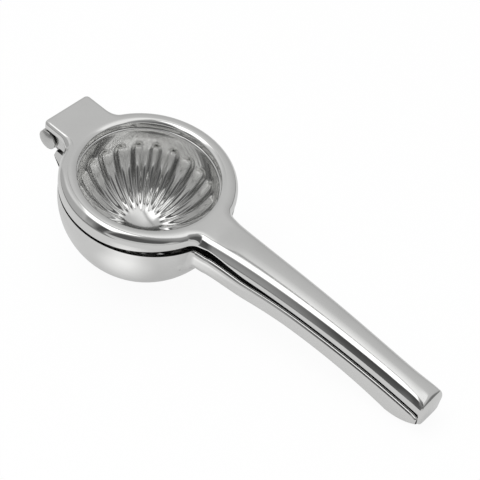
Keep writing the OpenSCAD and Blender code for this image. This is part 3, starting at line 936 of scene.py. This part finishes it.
def dome_line(radius, foot, height, step):
    """Half outline of a low dome that stands on a straight edge of the height step."""
    rise = height - step
    ball = (radius ** 2 + rise ** 2) / (2 * rise)
    line = [(radius - 0.4, foot), (radius, foot + 0.25), (radius, foot + step)]
    for k in range(1, 15):
        r = radius * (1 - k / 14)
        line.append((r, foot + height - ball + math.sqrt(ball ** 2 - r ** 2)))
    return line


head_foot = EAR_Y + WASHER_T
hinge_pin = turned_piece("hinge_pin_headed", [(PIN_R, -head_foot - 1.4), (PIN_R, head_foot)]
                         + dome_line(HEAD_R, head_foot, HEAD_H, 0.8), -1)
pin_steel = steel("pin_steel", light=(0.70, 0.70, 0.69), dark=(0.60, 0.60, 0.59),
                  roughness=0.18, spread=0.06, hairlines=0.8)
hinge_pin.data.materials.append(pin_steel)
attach(hinge_pin, "upper")
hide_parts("hinge_pin")

# Painted shade: near-black washers stand for the dark gap under the pin's head.
washer_steel = steel("washer_steel", light=(0.10, 0.10, 0.10), dark=(0.05, 0.05, 0.05),
                     roughness=0.35, spread=0.1, hairlines=0.5)
for name, node, side in (("head_washer_ring", "head_washer", -1), ("cap_washer_ring", "cap_washer", 1)):
    foot, top = EAR_Y + 0.02, EAR_Y + WASHER_T - 0.02
    line = [(PIN_R + 0.05, foot), (WASHER_R - 0.15, foot), (WASHER_R, foot + 0.15), (WASHER_R, top - 0.15),
            (WASHER_R - 0.15, top), (PIN_R + 0.05, top), (PIN_R + 0.05, foot)]
    washer = turned_piece(name, line, side)
    washer.data.materials.append(washer_steel)
    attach(washer, "upper")
    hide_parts(node)

cap_floor = head_foot + CAP_H / 2 - 0.1
cap_line = [(0, cap_floor), (PIN_R + 0.02, cap_floor), (PIN_R + 0.02, head_foot)]
pin_cap = turned_piece("pin_cap_dome", cap_line + dome_line(CAP_R, head_foot, CAP_H, CAP_H / 2), 1)
pin_cap.data.materials.append(pin_steel)
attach(pin_cap, "upper")
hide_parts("pin_cap")


# ---------------------------------------------------------------------------
# Floor
# A plain pale floor, lit like white paper, that keeps the soft shadow. The steel mirrors a painted glow on
# it:
# a painted pool of light beside the bowl, fading out far right, and painted shade in front on the left.

SEEN_WHITE = 0.94
MIRRORED_WHITE = 0.72
PAINTED_POOL_AT = (-0.038, -0.055, 0)
PAINTED_POOL_R = 0.036
SHADE_IN, SHADE_OUT = 0.008, 0.018

bpy.ops.mesh.primitive_plane_add(size=8, location=(0, 0, 0))
floor = bpy.context.object
floor.name = "studio_floor"
floor_paper = bpy.data.materials.new("floor_paper")
floor_paper.use_nodes = True
tree = floor_paper.node_tree
paper = tree.nodes["Principled BSDF"]
paper.inputs["Base Color"].default_value = (0.96, 0.96, 0.96, 1)
paper.inputs["Roughness"].default_value = 0.9
glow = tree.nodes.new("ShaderNodeEmission")
rays = tree.nodes.new("ShaderNodeLightPath")
spot = tree.nodes.new("ShaderNodeVectorMath")
spot.operation = "DISTANCE"
spot.inputs[1].default_value = PAINTED_POOL_AT
tree.links.new(tree.nodes.new("ShaderNodeTexCoord").outputs["Object"], spot.inputs[0])
# Painted light for mirrored rays only: a glowing pool beside the bowl, dimmed far right and in front on the
# left.
painted_pool = range_node(tree, spot.outputs["Value"], 0, PAINTED_POOL_R, 1.2, 0.6, smooth=True)
ground = tree.nodes.new("ShaderNodeSeparateXYZ")
tree.links.new(tree.nodes.new("ShaderNodeTexCoord").outputs["Object"], ground.inputs[0])
far_right = math_node(tree, "ADD", ground.outputs["X"], ground.outputs["Y"])
painted_pool = math_node(tree, "MULTIPLY", painted_pool, range_node(tree, far_right, 0.4, 0.7, 1, 0, smooth=True))
in_front = range_node(tree, ground.outputs["Y"], -0.26, -0.2, 1, 0, smooth=True)
on_left = range_node(tree, ground.outputs["X"], -0.02, 0.02, 1, 0, smooth=True)
painted_shade_front_left = math_node(tree, "MULTIPLY", in_front, on_left)
painted_pool = math_node(tree, "MULTIPLY", painted_pool, math_node(tree, "SUBTRACT", 1, painted_shade_front_left))
mirrored_glow = math_node(tree, "MULTIPLY", rays.outputs["Is Glossy Ray"], painted_pool)
tree.links.new(math_node(tree, "ADD", mirrored_glow, rays.outputs["Is Camera Ray"]), glow.inputs["Strength"])
blend = tree.nodes.new("ShaderNodeMixShader")
seen_share = math_node(tree, "MULTIPLY", rays.outputs["Is Camera Ray"], SEEN_WHITE)
mirrored_share = math_node(tree, "MULTIPLY", rays.outputs["Is Glossy Ray"], MIRRORED_WHITE)
seen_share = math_node(tree, "ADD", seen_share, mirrored_share)
# Close under the bowl's base the floor's white glow is masked off, leaving only the paper's real shadow: a
# painted contact shadow, also where the floor shows through the drain holes.
base_at = arm_frame @ Vector((0, 0, BASE_Z))
under_base = tree.nodes.new("ShaderNodeVectorMath")
under_base.operation = "DISTANCE"
under_base.inputs[1].default_value = (base_at.x, base_at.y, 0)
tree.links.new(tree.nodes.new("ShaderNodeNewGeometry").outputs["Position"], under_base.inputs[0])
seen_share = math_node(tree, "MULTIPLY", seen_share,
                       range_node(tree, under_base.outputs["Value"], SHADE_IN, SHADE_OUT, 0, 1, smooth=True))
tree.links.new(seen_share, blend.inputs["Fac"])
tree.links.new(paper.outputs[0], blend.inputs[1])
tree.links.new(glow.outputs[0], blend.inputs[2])
tree.links.new(blend.outputs[0], tree.nodes["Material Output"].inputs["Surface"])
floor.data.materials.append(floor_paper)


# ---------------------------------------------------------------------------
# Studio light
# A pale room with a soft lamp overhead. The steel mirrors its soft-edged panels: grey walls, a bright
# ceiling and a dim side where the camera stands. Only the floor's paper sees an even light.

DIFFUSE_LIGHT = 0.55
LAMP_SIZE = 1.2
LAMP_ENERGY = 9
LAMP_AT = (-0.1, -0.2, 1.2)

world = bpy.data.worlds.new("studio")
bpy.context.scene.world = world
world.use_nodes = True
tree = world.node_tree
background = tree.nodes["Background"]
background.inputs["Color"].default_value = (1, 1, 1, 1)
turned = tree.nodes.new("ShaderNodeVectorRotate")
turned.rotation_type = "Y_AXIS"
turned.inputs["Angle"].default_value = -lean
tree.links.new(tree.nodes.new("ShaderNodeTexCoord").outputs["Generated"], turned.inputs["Vector"])
facing = tree.nodes.new("ShaderNodeSeparateXYZ")
tree.links.new(turned.outputs[0], facing.inputs[0])
# over runs from the camera's horizon at 0 past the zenith at 90 to the far horizon at 180, and side from the
# left wall at -90 to the right one, both in degrees.
over = math_node(tree, "ARCTAN2", facing.outputs["Z"], math_node(tree, "MULTIPLY", facing.outputs["Y"], -1))
over = math_node(tree, "MULTIPLY", over, 180 / math.pi)
side = math_node(tree, "MULTIPLY", math_node(tree, "ARCSINE", facing.outputs["X"], 0), 180 / math.pi)


def mixed(tree, share, first, second):
    """first where share is 0, and second where it is 1."""
    less = math_node(tree, "SUBTRACT", 1, share)
    kept = math_node(tree, "MULTIPLY", less, first)
    added = math_node(tree, "MULTIPLY", share, second)
    return math_node(tree, "ADD", kept, added)


def panel(light, strength, overs, sides, soft, slant=0.0):
    """Lays a panel with soft edges over the light. Its over edges rise by slant for each degree of side."""
    level = math_node(tree, "SUBTRACT", over, math_node(tree, "MULTIPLY", side, slant))
    mask = None
    for value, (low, high), width in ((level, overs, soft[0]), (side, sides, soft[1])):
        for edge, sign in ((low, 1), (high, -1)):
            step = range_node(tree, value, edge - sign * width, edge + sign * width, 0, 1, smooth=True)
            mask = step if mask is None else math_node(tree, "MULTIPLY", mask, step)
    return mixed(tree, mask, light, strength)


# The far wall, the left wall and the ceiling's left end.
light = range_node(tree, over, 126, 165, 0.60, 0.50)
light = panel(light, strength=0.46, overs=(-90, 72), sides=(-120, -28), soft=(14, 6))
light = panel(light, strength=0.75, overs=(60, 92), sides=(-60, -20), soft=(12, 10))
# The ceiling's far part, which the level faces mirror.
ceiling = range_node(tree, over, 106, 126, 1.05, 0.62)
light = panel(light, strength=ceiling, overs=(98, 126), sides=(-26, 34), soft=(6, 8), slant=-0.12)
# The dim column where the camera stands, the right wall, and the dark room between them.
column = math_node(tree, "MULTIPLY", range_node(tree, side, -18.5, -9.5, 0.34, 0.09),
                   range_node(tree, over, 5, 45, 1.2, 0.8))
light = panel(light, strength=column, overs=(-30, 56), sides=(-27, 2), soft=(4, 3))
light = panel(light, strength=0.62, overs=(-30, 90), sides=(-1, 90), soft=(4, 3))
dark_room = range_node(tree, over, 60, 92, 0.10, 0.34, smooth=True)
light = panel(light, strength=dark_room, overs=(14, 100), sides=(0, 58), soft=(4, 5), slant=0.5)
# The ceiling's right part, and the dark corners to the right.
light = panel(light, strength=1.0, overs=(96, 121), sides=(0, 34), soft=(4, 8))
light = panel(light, strength=0.2, overs=(62, 190), sides=(56, 120), soft=(8, 7))
light = panel(light, strength=0.2, overs=(140, 190), sides=(40, 120), soft=(8, 5))
# The brightest soft box, and the narrow gap between it and the ceiling.
light = panel(light, strength=1.5, overs=(55, 96), sides=(-29, -2), soft=(3, 3), slant=-0.3)
light = panel(light, strength=0.4, overs=(94.5, 98.5), sides=(-36, 3), soft=(1.2, 4), slant=-0.5)
rays = tree.nodes.new("ShaderNodeLightPath")
light = mixed(tree, rays.outputs["Is Diffuse Ray"], light, DIFFUSE_LIGHT)
light = mixed(tree, rays.outputs["Is Camera Ray"], light, 1.0)
tree.links.new(light, background.inputs["Strength"])

lamp_data = bpy.data.lights.new("soft_light", "AREA")
lamp_data.shape = "SQUARE"
lamp_data.size = LAMP_SIZE
lamp_data.energy = LAMP_ENERGY
lamp = bpy.data.objects.new("soft_light", lamp_data)
lamp.location = LAMP_AT
lamp.rotation_euler = (-Vector(lamp.location)).to_track_quat("-Z", "Y").to_euler()
lamp.visible_glossy = False
bpy.context.scene.collection.objects.link(lamp)


# ---------------------------------------------------------------------------
# Camera
# It looks down on the arms from the side of the pin's head, a little rolled, with the ring's centre off to
# one side. Its place is given in the arms' frame, in millimetres.

CAMERA_TURN = math.radians(31.138)
CAMERA_RISE = math.radians(48.64)
CAMERA_ROLL = math.radians(13.781)
CAMERA_FAR = 676.628
CAMERA_ASIDE = (42.025, -31.158)
CAMERA_LENS = 108.625
SENSOR = 36.0

back = Vector((math.sin(CAMERA_TURN) * math.cos(CAMERA_RISE), -math.cos(CAMERA_TURN) * math.cos(CAMERA_RISE),
               math.sin(CAMERA_RISE)))
right = Vector((math.cos(CAMERA_TURN), math.sin(CAMERA_TURN), 0))
up = back.cross(right)
rolled_right = right * math.cos(CAMERA_ROLL) + up * math.sin(CAMERA_ROLL)
rolled_up = up * math.cos(CAMERA_ROLL) - right * math.sin(CAMERA_ROLL)
camera_at = back * CAMERA_FAR + rolled_right * CAMERA_ASIDE[0] + rolled_up * CAMERA_ASIDE[1]
camera_data = bpy.data.cameras.new("camera")
camera_data.lens = CAMERA_LENS
camera_data.sensor_width = SENSOR
camera = bpy.data.objects.new("camera", camera_data)
axes = Matrix((rolled_right, rolled_up, back)).transposed()
camera.matrix_world = (Matrix.Translation(arm_frame @ camera_at)
                       @ (Matrix.Rotation(lean, 3, "Y") @ axes).to_4x4())
bpy.context.scene.collection.objects.link(camera)
bpy.context.scene.camera = camera
bpy.context.scene.view_settings.view_transform = "Standard"
